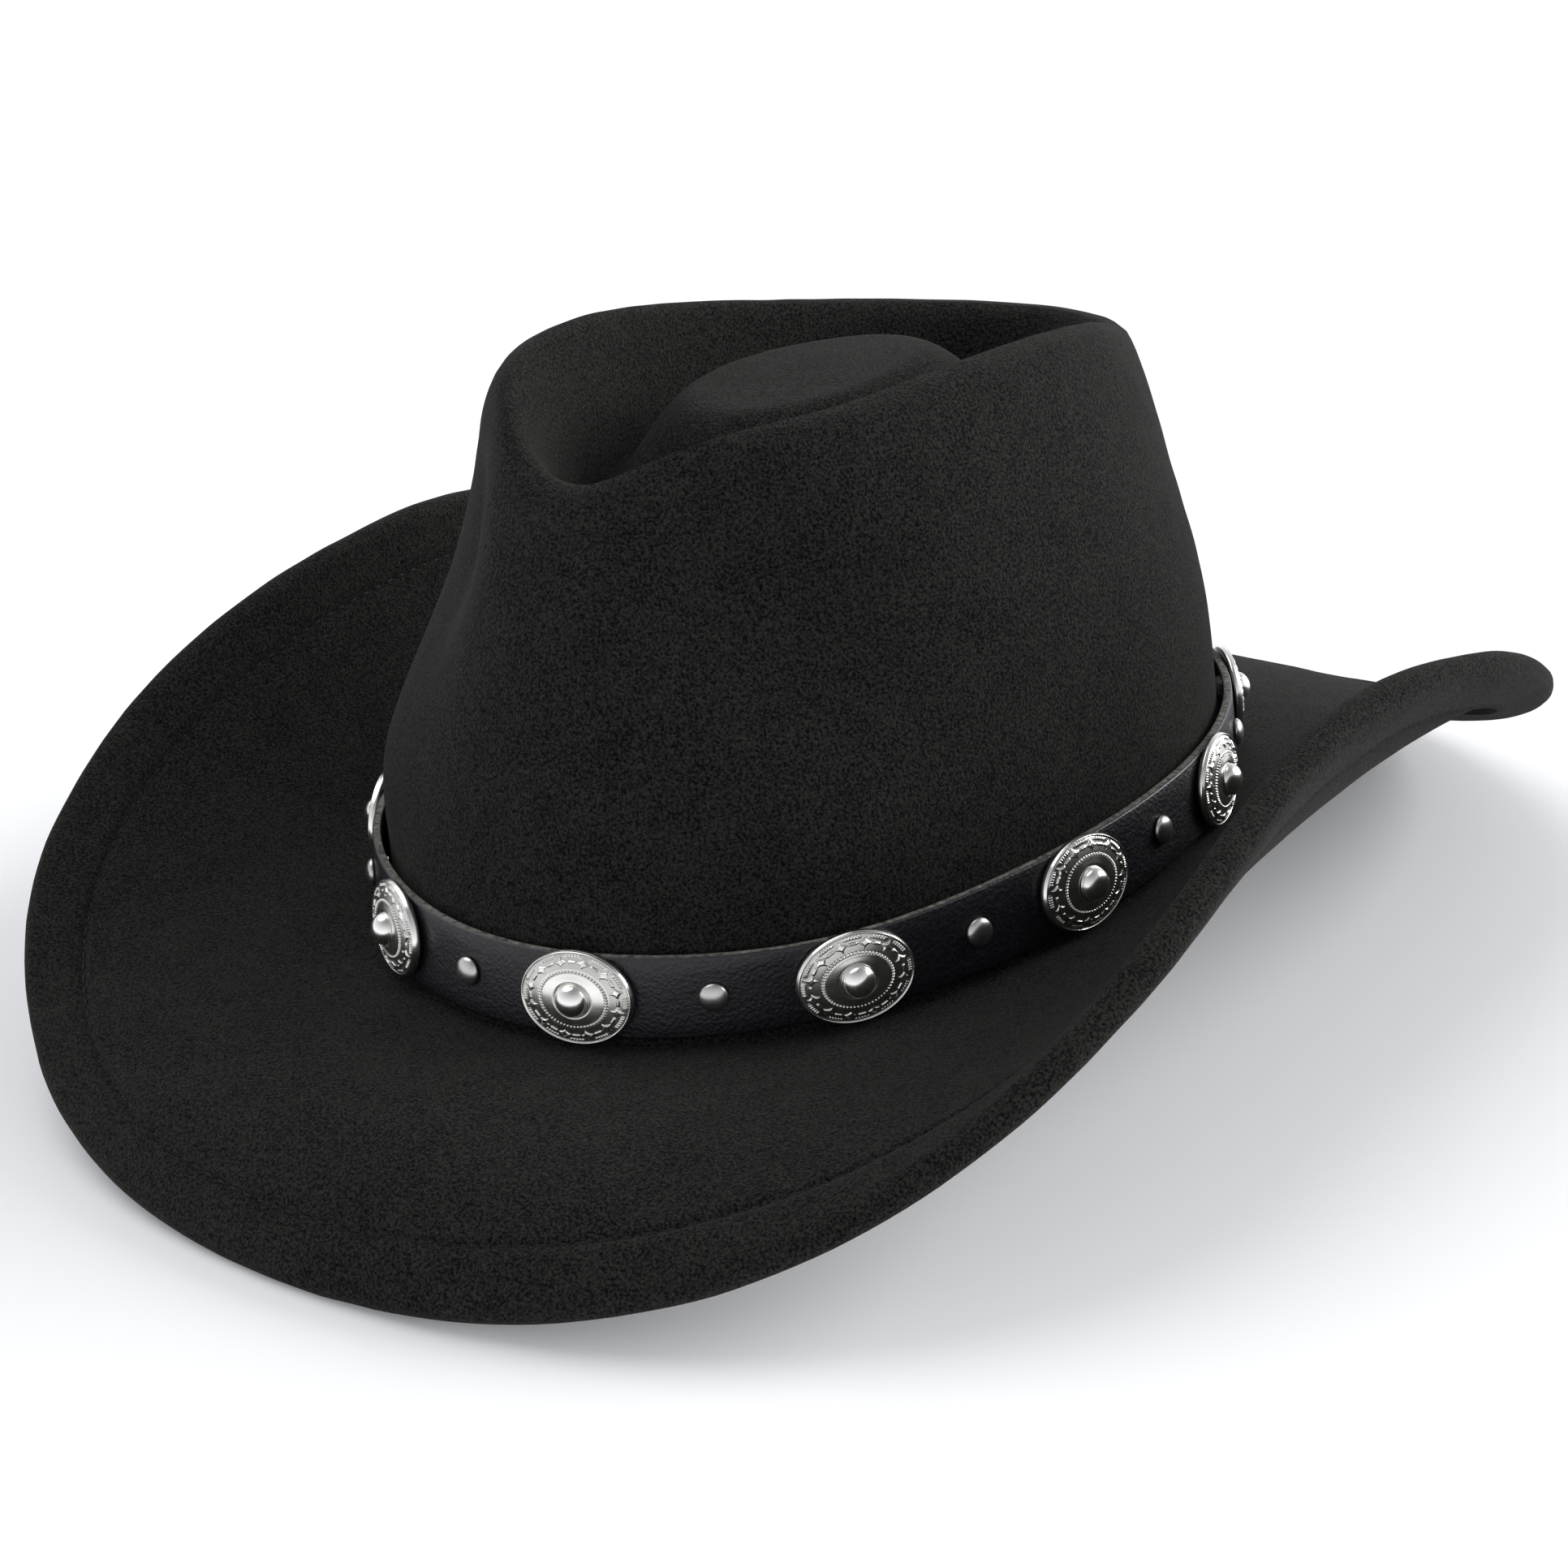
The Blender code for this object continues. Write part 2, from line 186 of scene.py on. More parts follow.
def pebbled_leather():
    made, tree, shader = new_material(
        "pebbled_leather_black",
        Base_Color=linear("#0c0d13"),
        Specular_IOR_Level=0.5,
        Coat_Weight=0.22,
        Coat_Roughness=0.22,
    )
    place = node(tree, "ShaderNodeTexCoord")
    bend = node(tree, "ShaderNodeTexNoise", inputs={"Scale": per_metre(2.5), "Detail": 2.0},
                links={"Vector": place.outputs["Object"]})
    moved = node(tree, "ShaderNodeMixRGB", {"blend_type": "LINEAR_LIGHT"}, {"Fac": 0.0006},
                 {"Color1": place.outputs["Object"], "Color2": bend.outputs["Color"]})
    pebble = node(tree, "ShaderNodeTexVoronoi", {"feature": "SMOOTH_F1"},
                  {"Scale": per_metre(PEBBLE_SIZE), "Smoothness": 0.35}, {"Vector": moved.outputs["Color"]})
    gloss = node(tree, "ShaderNodeMapRange", inputs={"From Max": 0.8, "To Min": 0.34, "To Max": 0.56},
                 links={"Value": pebble.outputs["Distance"]})
    tree.links.new(gloss.outputs["Result"], shader.inputs["Roughness"])
    grain = node(tree, "ShaderNodeBump", {"invert": True}, {"Strength": 0.8, "Distance": 0.16 * METRE},
                 {"Height": pebble.outputs["Distance"]})
    tree.links.new(grain.outputs["Normal"], shader.inputs["Normal"])
    return made


def cut_leather_edge():
    made, tree, shader = new_material("leather_cut_edge", Roughness=0.85, Specular_IOR_Level=0.25)
    place = node(tree, "ShaderNodeTexCoord")
    fibre = node(tree, "ShaderNodeTexNoise", inputs={"Scale": per_metre(FIBRE_SIZE), "Detail": 4.0},
                 links={"Vector": place.outputs["Object"]})
    tone = node(tree, "ShaderNodeValToRGB", links={"Fac": fibre.outputs["Fac"]})
    tone.color_ramp.elements[0].position, tone.color_ramp.elements[1].position = 0.32, 0.72
    tone.color_ramp.elements[0].color = linear("#393735")
    tone.color_ramp.elements[1].color = linear("#8b8780")
    tree.links.new(tone.outputs["Color"], shader.inputs["Base Color"])
    return made


LEATHER = pebbled_leather()
CUT_EDGE = cut_leather_edge()
print("leather:", LEATHER.name, "and", CUT_EDGE.name)

# %% [markdown]
# ## Metals
# The conchos are zinc castings with bright silver plate. Their recesses get painted shade: the silver is
# drawn darker between the raised parts, and a mesh attribute says how much. The rivets are
# satin nickel, a little warmer and duller. The brim wire is drawn spring steel.

# %% Silver, nickel and steel
DULL_SHARE = 0.12


def plated_silver():
    made, tree, shader = new_material("silver_plate_painted_shade", Metallic=1.0)
    place = node(tree, "ShaderNodeTexCoord")
    # Painted shade: a mesh attribute turns the silver darker between the raised parts and round the dome.
    painted_recess_shade = node(tree, "ShaderNodeAttribute", {"attribute_name": "painted_recess_shade"})
    tone = node(tree, "ShaderNodeValToRGB", links={"Fac": painted_recess_shade.outputs["Fac"]})
    tone.color_ramp.elements[0].color = linear("#f6f5f1")
    tone.color_ramp.elements[1].color = linear("#9a9792")
    tree.links.new(tone.outputs["Color"], shader.inputs["Base Color"])
    wear = node(tree, "ShaderNodeTexNoise", inputs={"Scale": per_metre(3.0), "Detail": 5.0},
                links={"Vector": place.outputs["Object"]})
    rough = node(tree, "ShaderNodeMapRange",
                 inputs={"From Min": 0.3, "From Max": 0.7, "To Min": 0.19, "To Max": 0.27},
                 links={"Value": wear.outputs["Fac"]})
    duller = node(tree, "ShaderNodeMath", {"operation": "MULTIPLY_ADD"}, {1: DULL_SHARE},
                  {0: painted_recess_shade.outputs["Fac"], 2: rough.outputs["Result"]})
    tree.links.new(duller.outputs[0], shader.inputs["Roughness"])
    return made


def satin_metal(name, light, dark, roughness, grain):
    made, tree, shader = new_material(name, Metallic=1.0)
    place = node(tree, "ShaderNodeTexCoord")
    haze = node(tree, "ShaderNodeTexNoise", inputs={"Scale": per_metre(grain), "Detail": 4.0},
                links={"Vector": place.outputs["Object"]})
    tone = node(tree, "ShaderNodeMixRGB", inputs={"Color1": linear(dark), "Color2": linear(light)},
                links={"Fac": haze.outputs["Fac"]})
    tree.links.new(tone.outputs["Color"], shader.inputs["Base Color"])
    rough = node(tree, "ShaderNodeMapRange",
                 inputs={"To Min": roughness - 0.06, "To Max": roughness + 0.06},
                 links={"Value": haze.outputs["Fac"]})
    tree.links.new(rough.outputs["Result"], shader.inputs["Roughness"])
    return made


SILVER = plated_silver()
NICKEL = satin_metal("satin_nickel", "#d6d5d2", "#b4b3b1", 0.30, 1.5)
STEEL = satin_metal("spring_steel", "#9b9c9f", "#77787b", 0.38, 0.8)
print("metals:", [m.name for m in (SILVER, NICKEL, STEEL)])

# %% [markdown]
# ## Cotton twill and thread
# The sweatband is black cotton twill, whose diagonal ribs are about 0.8 mm apart. The hem is sewn with
# black bonded thread, which has a slight wax shine that sets it off from the felt.

# %% Twill and thread
RIB_PITCH = 0.8
# A wave texture of scale 1 has about six bands to the metre.
WAVE_BANDS = 6


def cotton_twill():
    made, tree, shader = new_material("cotton_twill_black", Roughness=0.85, Sheen_Weight=0.2)
    place = node(tree, "ShaderNodeTexCoord")
    rib = node(tree, "ShaderNodeTexWave", {"bands_direction": "DIAGONAL"},
               {"Scale": per_metre(RIB_PITCH) / WAVE_BANDS, "Distortion": 0.4},
               {"Vector": place.outputs["Object"]})
    tone = node(tree, "ShaderNodeMixRGB", inputs={"Color1": linear("#101011"), "Color2": linear("#262628")},
                links={"Fac": rib.outputs["Fac"]})
    tree.links.new(tone.outputs["Color"], shader.inputs["Base Color"])
    weave = node(tree, "ShaderNodeBump", inputs={"Strength": 0.5, "Distance": 0.15 * METRE},
                 links={"Height": rib.outputs["Fac"]})
    tree.links.new(weave.outputs["Normal"], shader.inputs["Normal"])
    return made


def bonded_thread():
    made, tree, shader = new_material("bonded_thread_black", Roughness=0.65, Specular_IOR_Level=0.3)
    place = node(tree, "ShaderNodeTexCoord")
    ply = node(tree, "ShaderNodeTexNoise", inputs={"Scale": per_metre(0.4)},
               links={"Vector": place.outputs["Object"]})
    tone = node(tree, "ShaderNodeMixRGB", inputs={"Color1": linear("#070708"), "Color2": linear("#141415")},
                links={"Fac": ply.outputs["Fac"]})
    tree.links.new(tone.outputs["Color"], shader.inputs["Base Color"])
    return made


TWILL = cotton_twill()
THREAD = bonded_thread()
print("materials:", [m.name for m in bpy.data.materials if m.node_tree])

# %% [markdown]
# ## The felt's shape, as formulas
# A hatter blocks the crown over a wooden form and then bends the brim over steam. So the shape follows
# a few smooth curves round the hat: the oval where the crown meets the brim, the crest on top, and the
# slope that the brim has at the crown and at its rim. Most are sums of a few cosines of `angle`, which
# runs round the hat from the front towards +X, and `share` runs along the felt. All lengths are
# millimetres until a mesh is made. The formulas are those of the CAD model, so that the fine mesh lies
# exactly where the solid does.

# %% Driving sizes
HALF_LENGTH, HALF_WIDTH = 103.2, 84.0
FELT_THICK = 2.2
BASE_HEIGHT, BASE_SIDE_RISE, BASE_NOD = 22.4, 4.1, 2.7
CREASE_DEPTH, VALLEY_SHARE, DOME_RISE, DOME_CENTRE = 25.0, 0.78, 22.0, (0.0, 5.0)
PINCH_DEPTH, PINCH_ANGLE, BELLY, BACK_FULLNESS = 10.5, radians(40), 4.5, 2.2
NEAR_DIP, CORNER_RISE, DOME_SHOULDER = 4.4, 4.2, 0.36
DIP_ANGLE, DIP_SPREAD = radians(68), radians(24)
CORNER_ANGLE, CORNER_SPREAD = radians(118), radians(22)
BACK_ANGLE, BACK_SPREAD, PINCH_SPREAD = radians(130), radians(35), radians(18)
BULGE_POWER = 2.4
FOLD_RADIUS, HEM_WIDTH = 2.2, 12.5
CURVE_STEPS = 48
FORE_AFT_SHIFT = -0.7
CROWN_START, BRIM_START = 0.05, 0.07
MEAN_BRIM_WIDTH = 73.5
print("crown's foot:", 2 * HALF_LENGTH, "by", 2 * HALF_WIDTH, "mm, felt", FELT_THICK, "mm thick")


# %% Oval and small curves
def bell(value, centre, width):
    """1 at the centre, falling smoothly to 0 over about twice the width."""
    return np.exp(-(((value - centre) / width) ** 2))


def turn_from(angle, centre):
    """Signed angle from centre, between -pi and pi."""
    return (angle - centre + pi) % (2 * pi) - pi


def oval(angle):
    """Point of the crown's base oval, and the unit vector that points out from it."""
    reach = 1 / np.hypot(np.sin(angle) / HALF_WIDTH, np.cos(angle) / HALF_LENGTH)
    point = np.stack([reach * np.sin(angle), -reach * np.cos(angle)], -1)
    out = point / np.array([HALF_WIDTH, HALF_LENGTH]) ** 2
    return point, out / np.linalg.norm(out, axis=-1, keepdims=True)


def smooth(low, high, value):
    """0 up to low and 1 from high on, with a smooth step between."""
    share = np.clip((value - low) / (high - low), 0, 1)
    return share * share * (3 - 2 * share)


def base_height(angle):
    """Height of the crown's foot above the ground."""
    return BASE_HEIGHT + BASE_SIDE_RISE * np.sin(angle) ** 2 - BASE_NOD * np.cos(angle)


# %% Brim
def brim_width(angle):
    return 74.2 + 2.0 * np.cos(angle) + 4.2 * np.cos(2 * angle) - 0.6 * np.cos(4 * angle)


def slope_at_crown(angle):
    """How steeply the brim rises where it leaves the crown, in radians."""
    return np.radians(7.8 + 4.0 * np.cos(angle) - 8.0 * np.cos(2 * angle) + 5.2 * np.cos(3 * angle))


def slope_at_rim(angle):
    """How steeply it rises at its edge: the sides curl up, the front and the back droop."""
    wave = 23.9 - 12.9 * np.cos(angle) - 67.7 * np.cos(2 * angle) - 5.5 * np.cos(3 * angle)
    dip = 10.0 * bell(abs(turn_from(angle, 0)), radians(152), radians(20))
    return np.radians(wave - 8.4 * np.cos(4 * angle) - dip)


def brim(angle, share):
    """Middle of the felt at a share of the brim's width, with the outward and upward directions."""
    share = share * np.ones_like(angle)
    power = 1.88 + 0.61 * np.cos(2 * angle)
    way = np.linspace(0, share, CURVE_STEPS + 1)
    slope = slope_at_crown(angle) + (slope_at_rim(angle) - slope_at_crown(angle)) * way**power
    step = brim_width(angle) * share / CURVE_STEPS
    run = (np.cos(slope[1:]) + np.cos(slope[:-1])).sum(0) / 2 * step
    rise = (np.sin(slope[1:]) + np.sin(slope[:-1])).sum(0) / 2 * step
    point, out = oval(angle)
    middle = np.column_stack([point + run[:, None] * out, base_height(angle) + rise])
    last = slope[-1][:, None]
    along = np.column_stack([np.cos(last) * out, np.sin(last)])
    up = np.column_stack([-np.sin(last) * out, np.cos(last)])
    return middle, along, up


print("brim's width at the front and the side, mm:", brim_width(np.array([0, pi / 2])).round(1).tolist())


# %% Crown
def crest(angle):
    """The crown's top edge. Its left side dips ahead of the middle and rises to a corner behind it."""
    x = 1.8 + 46.6 * np.sin(angle) - 5.5 * np.sin(2 * angle) - 0.5 * np.sin(3 * angle)
    y = 3.6 - 86.0 * np.cos(angle) + 9.3 * np.cos(2 * angle) + 1.2 * np.cos(3 * angle)
    z = 130.7 + 5.7 * np.cos(angle) - 8.2 * np.cos(2 * angle) - 2.3 * np.cos(3 * angle)
    z = z - NEAR_DIP * bell(turn_from(angle, DIP_ANGLE), 0, DIP_SPREAD)
    z = z + CORNER_RISE * bell(turn_from(angle, CORNER_ANGLE), 0, CORNER_SPREAD)
    return np.column_stack([x, y, z])


def wall(angle, share):
    """The crown's side from its foot (0) to the crest (1), with the two front pinches."""
    point, out = oval(angle)
    foot = np.column_stack([point, base_height(angle)])
    top = crest(angle)
    bulge = 1 - (1 - share**BULGE_POWER) ** (1 / BULGE_POWER)
    inward = 0.6 * share**1.2 + 0.4 * bulge
    middle = foot + (top - foot) * np.array([inward, inward, share])
    pinch = bell(abs(turn_from(angle, 0)), PINCH_ANGLE, PINCH_SPREAD)
    dent = pinch * (PINCH_DEPTH * bell(share, 0.74, 0.2) - BELLY * bell(share, 0.32, 0.16))
    dent -= BACK_FULLNESS * bell(turn_from(angle, BACK_ANGLE), 0, BACK_SPREAD) * bell(share, 0.4, 0.25)
    middle[:, :2] -= dent[:, None] * out
    return middle


def crease(angle, share):
    """The crown's top from the middle of its dome (0) over the valley to the crest (1)."""
    top = crest(angle)
    centre = np.array([*DOME_CENTRE, top[:, 2].mean()])
    middle = centre + (top - centre) * share
    middle[:, 2] = centre[2] + (top[:, 2] - centre[2]) * share**3
    middle[:, 2] -= CREASE_DEPTH * smooth(1.0, VALLEY_SHARE, share)
    middle[:, 2] += DOME_RISE * smooth(VALLEY_SHARE, DOME_SHOULDER, share)
    return middle


def corner(angle, share):
    """The bend between the crown's side and the brim."""
    high, low = wall(angle, CROWN_START), brim(angle, BRIM_START)[0]
    bend = np.column_stack([oval(angle)[0], base_height(angle)])
    return (1 - share) ** 2 * high + 2 * share * (1 - share) * bend + share**2 * low


print("crest at the front, side and back, mm:", crest(np.radians([0, 90, 180]))[:, 2].round(1).tolist())


# %% Hem
def groove_share(angle):
    """Where on the brim the hem's stitches lie."""
    return 1 - (HEM_WIDTH - FOLD_RADIUS) / brim_width(angle)


def fold(angle, turn):
    """The felt where it turns round the wire, from 0 on top to pi underneath."""
    middle, along, up = brim(angle, 1.0)
    return middle - FOLD_RADIUS * up + FOLD_RADIUS * (cos(turn) * up + sin(turn) * along)


def under_hem(angle, share):
    """The turned-under felt, from the fold (0) back to its raw edge (1)."""
    middle, _, up = brim(angle, 1 - (HEM_WIDTH - FOLD_RADIUS) / MEAN_BRIM_WIDTH * share)
    drop = 2 * FOLD_RADIUS + (FELT_THICK + 0.4 - 2 * FOLD_RADIUS) * smooth(0, 1, share)
    return middle - drop * up


rim_points = brim(np.array([0.0, pi / 2]), 1.0)[0]
print("rim at the front and the side, mm:", rim_points.round(1).tolist())

# %% [markdown]
# ## Felt body
# One sheet of rings runs from the top of the dome over the crest, down the crown, out along the brim,
# round the wire and back under to the hem's raw edge. Rings are close together where the felt turns or
# is sewn. The sheet gets the felt's thickness by moving it along its normals both ways. Real felt isn't
# even: hands dent it and the nap swells, so each point also moves a little by smooth noise. The hem is
# plump, because its stitches draw the felt in along one line.

# %% Rings of the sheet
AROUND = 336
GROOVE_DEPTH, GROOVE_HALF, PLUMP = 0.75, 0.75, 0.55
WIDE_SWELL, WIDE_SIZE = 0.55, 34
NEAR_SWELL, NEAR_SIZE = 0.14, 9

angles = np.linspace(0, 2 * pi, AROUND, endpoint=False)


def felt_rings():
    """Rings of the felt's middle, and how far each stands proud (+) or is drawn in (-) on top."""
    rings, proud = [], []

    def add(ring, stands=0.0):
        rings.append(ring)
        proud.append(stands)

    for share in np.linspace(0.03, 1.0, 46):
        add(crease(angles, share))
    for share in np.linspace(0.985, CROWN_START, 56):
        add(wall(angles, share))
    for share in np.linspace(0.15, 0.85, 6):
        add(corner(angles, share))
    groove, width = groove_share(angles), brim_width(angles).mean()
    reach = width * (groove.mean() - BRIM_START)
    field = np.concatenate([np.linspace(0, reach - 3.0, 34), np.linspace(reach - 2.4, reach, 7)])
    for distance in field:
        drawn = -GROOVE_DEPTH * bell(distance, reach, GROOVE_HALF)
        add(brim(angles, BRIM_START + (groove - BRIM_START) * distance / reach)[0], drawn)
    hem = HEM_WIDTH - FOLD_RADIUS
    for distance in np.concatenate([np.linspace(0.4, 2.4, 6), np.linspace(3.2, hem, 8)]):
        drawn = -GROOVE_DEPTH * bell(distance, 0, GROOVE_HALF) + PLUMP * smooth(0.3, 3.5, distance)
        add(brim(angles, groove + (1 - groove) * distance / hem)[0], drawn)
    for turn in np.linspace(0, pi, 13)[1:]:
        add(fold(angles, turn), PLUMP * (1 - 0.6 * turn / pi))
    for share in np.linspace(0.08, 1.0, 14):
        add(under_hem(angles, share), 0.22 - 0.5 * bell(share, 0.93, 0.06))
    return np.array(rings), np.array(proud)


def normals_of(rings):
    """Unit vectors that point out of the felt at each point of the rings."""
    down = np.gradient(rings, axis=0)
    down[1:-1] = rings[2:] - rings[:-2]
    across = np.roll(rings, -1, axis=1) - np.roll(rings, 1, axis=1)
    normal = np.cross(down, across)
    return normal / np.linalg.norm(normal, axis=-1, keepdims=True)


def swell(points):
    """Smooth hand-made unevenness at each point, in millimetres."""
    flat = points.reshape(-1, 3)
    wide = [noise.noise(Vector(p) / WIDE_SIZE) for p in flat]
    near = [noise.noise(Vector(p) / NEAR_SIZE + Vector((7, 3, 5))) for p in flat]
    return (WIDE_SWELL * np.array(wide) + NEAR_SWELL * np.array(near)).reshape(points.shape[:-1])


rings, proud = felt_rings()
normal = normals_of(rings)
uneven = swell(rings)
print(len(rings), "rings of", AROUND, "points, uneven by", round(float(np.abs(uneven).max()), 2), "mm")

# %% [markdown]
# ## Mesh helpers
# Nearly every piece here is a grid of rings: the felt, the strap, a concho, a rivet cap. `grid_faces`
# joins neighbouring rings with quads, `mesh_from` turns points in millimetres into a smooth object, and
# `settle` hands a finished piece to the frame, on the body that carries it.

# %% Mesh helpers
def grid_faces(rows, columns, closed_rows=False):
    """Quads between the rings of a grid whose columns close round."""
    last = rows if closed_rows else rows - 1
    r, c = np.meshgrid(np.arange(last), np.arange(columns), indexing="ij")
    below, beside = (r + 1) % rows, (c + 1) % columns
    here, there = r * columns, below * columns
    return np.stack([here + c, there + c, there + beside, here + beside], -1).reshape(-1, 4)


def mesh_from(name, points, faces, materials):
    """Mesh object from points in millimetres."""
    mesh = bpy.data.meshes.new(name)
    mesh.from_pydata((np.asarray(points) * METRE).tolist(), [], [tuple(map(int, f)) for f in faces])
    for finish in materials:
        mesh.materials.append(finish)
    bm = bmesh.new()
    bm.from_mesh(mesh)
    bmesh.ops.recalc_face_normals(bm, faces=bm.faces)
    bm.to_mesh(mesh)
    bm.free()
    mesh.shade_smooth()
    made = bpy.data.objects.new(name, mesh)
    bpy.context.collection.objects.link(made)
    return made


def settle(piece, body, slot, *nodes):
    """Rides a piece on its body and hides the CAD nodes it stands for. The slot, its finish's name, is not
    used.
    """
    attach(piece, body)
    if nodes:
        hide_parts(*nodes)


print("two rings of", AROUND, "points give", len(grid_faces(2, AROUND)), "faces")

# %% [markdown]
# ## Felt skin
# The outer skin takes every ring. The inner skin is only seen inside the hat and under the brim, so it
# takes every third ring. Both follow the same middle, and the ground flattens what would reach below it.

# %% Build the felt body
INNER_STEP = 3


def make_felt_body():
    half = FELT_THICK / 2
    top = rings + (half + proud[:, None, None] + uneven[..., None]) * normal
    low = rings - (half - 0.3 * uneven[..., None]) * normal
    keep = np.unique(np.append(np.arange(0, len(rings), INNER_STEP), len(rings) - 1))
    skin = np.concatenate([top, low[keep][::-1]])
    skin[..., 1] += FORE_AFT_SHIFT
    skin[..., 2] = np.maximum(skin[..., 2], 0)
    count = len(skin)
    points = [*skin.reshape(-1, 3), skin[0].mean(0), skin[-1].mean(0)]
    faces = grid_faces(count, AROUND).tolist()
    hub, end = count * AROUND, (count - 1) * AROUND
    for i in range(AROUND):
        j = (i + 1) % AROUND
        faces.append((hub, i, j))
        faces.append((hub + 1, end + j, end + i))
    return mesh_from("felt_crown_and_brim", points, faces, [FELT])


felt_body = make_felt_body()
settle(felt_body, "hat", "felt", "felt_body")
print("felt body:", len(felt_body.data.polygons), "faces")

# %% [markdown]
# ## Hem stitches
# The hem is lockstitched about 12 mm in from the edge, with a stitch every 4 mm. Each stitch is a short
# bead of thread that dips into the felt at both ends and lies half sunk in its groove.

# %% Stitch the hem
STITCH_PITCH, STITCH_LENGTH, THREAD_RADIUS = 4.0, 3.0, 0.32
THREAD_SIDES = 6


def bead(centre, along, up):
    """Rings of one stitch: it thins and dips at both ends."""
    side = np.cross(along, up)
    rows = []
    for t in (-1.0, -0.7, 0.0, 0.7, 1.0):
        spine = centre + along * t * STITCH_LENGTH / 2 - up * 0.5 * t * t
        radius = THREAD_RADIUS * (1 - 0.75 * t**4)
        turns = [2 * pi * k / THREAD_SIDES for k in range(THREAD_SIDES)]
        rows.append([spine + radius * (cos(a) * up + sin(a) * side) for a in turns])
    return rows


def make_hem_stitches():
    fine = np.linspace(0, 2 * pi, 2001)
    line = brim(fine, groove_share(fine))[0]
    length = np.concatenate([[0], np.cumsum(np.linalg.norm(np.diff(line, axis=0), axis=1))])
    count = round(length[-1] / STITCH_PITCH)
    at = np.interp(np.arange(count) * length[-1] / count, length, fine)
    middle, _, up = brim(at, groove_share(at))
    ahead = brim(at + 0.002, groove_share(at + 0.002))[0] - middle
    ahead /= np.linalg.norm(ahead, axis=1, keepdims=True)
    middle = middle + (FELT_THICK / 2 - GROOVE_DEPTH + 0.08) * up
    middle[:, 1] += FORE_AFT_SHIFT
    points, faces = [], []
    for centre, along, upward in zip(middle, ahead, up):
        start = len(points)
        rows = bead(centre, along, upward)
        points += [p for row in rows for p in row]
        faces += (grid_faces(len(rows), THREAD_SIDES) + start).tolist()
        end = len(points) - THREAD_SIDES
        faces.append([start + k for k in range(THREAD_SIDES)])
        faces.append([end + k for k in range(THREAD_SIDES)])
    print(count, "stitches along", round(length[-1]), "mm")
    return mesh_from("hem_stitches", points, faces, [THREAD])


hem_stitches = make_hem_stitches()
settle(hem_stitches, "hat", "felt")

# %% [markdown]
# ## Sweatband and brim wire
# The sweatband is a strip of twill sewn inside the crown's foot, with a soft roll along its lower edge.
# The brim wire lies hidden in the fold: its CAD solid is right as it is and only gets its steel.

# %% Sweatband
SWEATBAND_HEIGHT, SWEATBAND_THICK, SWEATBAND_GAP = 30.0, 1.0, 0.6
# The crown's side is nearly straight up to this share, where the sweatband and the strap lie.
LOW_WALL = 0.2


def wall_at(angle, height, offset):
    """Point beside the crown side: so far above its foot and so far out from the felt's middle."""
    tall = (crest(angle)[:, 2] - base_height(angle))[:, None]
    out = oval(angle)[1]
    lower, upper = wall(angle, CROWN_START), wall(angle, LOW_WALL)
    middle = lower + (upper - lower) * (height / tall - CROWN_START) / (LOW_WALL - CROWN_START)
    middle[:, :2] += np.reshape(offset, (-1, 1)) * out
    middle[:, 1] += FORE_AFT_SHIFT
    return middle


def make_sweatband():
    round_hat = np.linspace(0, 2 * pi, 240, endpoint=False)
    face = -FELT_THICK / 2 - SWEATBAND_GAP
    section = []
    for share in np.linspace(0.06, 0.97, 12):
        section.append((SWEATBAND_HEIGHT * share, face - SWEATBAND_GAP * share))
    section.append((SWEATBAND_HEIGHT, face - SWEATBAND_GAP - SWEATBAND_THICK / 2))
    for share in np.linspace(0.97, 0.06, 12):
        groove = 0.25 * bell(share, 0.9, 0.02) + 0.25 * bell(share, 0.12, 0.02)
        section.append((SWEATBAND_HEIGHT * share, face - SWEATBAND_GAP * share - SWEATBAND_THICK + groove))
    section.append((0.9, face - SWEATBAND_THICK - 0.1))
    section.append((0.7, face - SWEATBAND_THICK / 2))
    lines = np.array([wall_at(round_hat, height, offset) for height, offset in section])
    faces = grid_faces(len(section), len(round_hat), closed_rows=True)
    return mesh_from("twill_sweatband", lines.reshape(-1, 3), faces, [TWILL])


sweatband = make_sweatband()
settle(sweatband, "hat", "sweatband", "sweatband")
frame["nodes"]["brim_wire"].material_slots[0].material = STEEL
print("sweatband:", len(sweatband.data.polygons), "faces; brim wire in", STEEL.name)

# %% [markdown]
# ## The strap's path
# Everything on the band is placed by one number: the distance along the crown's foot from the front,
# towards +X. `BandPath` turns that distance into a point beside the felt, and into a frame with X along
# the strap, Y up it and Z out of it. Where the strap's outer end laps over its inner end it stands
# out by its own thickness.

# %% Band path
STRAP_WIDTH, STRAP_THICK, STRAP_FOOT, STRAP_STANDOFF, GAP = 16.8, 2.0, 4.3, 2.5, 0.3
CONCHOS, FIRST_CONCHO, OVERLAP, RAMP = 11, -33.0, 24.0, 11.0


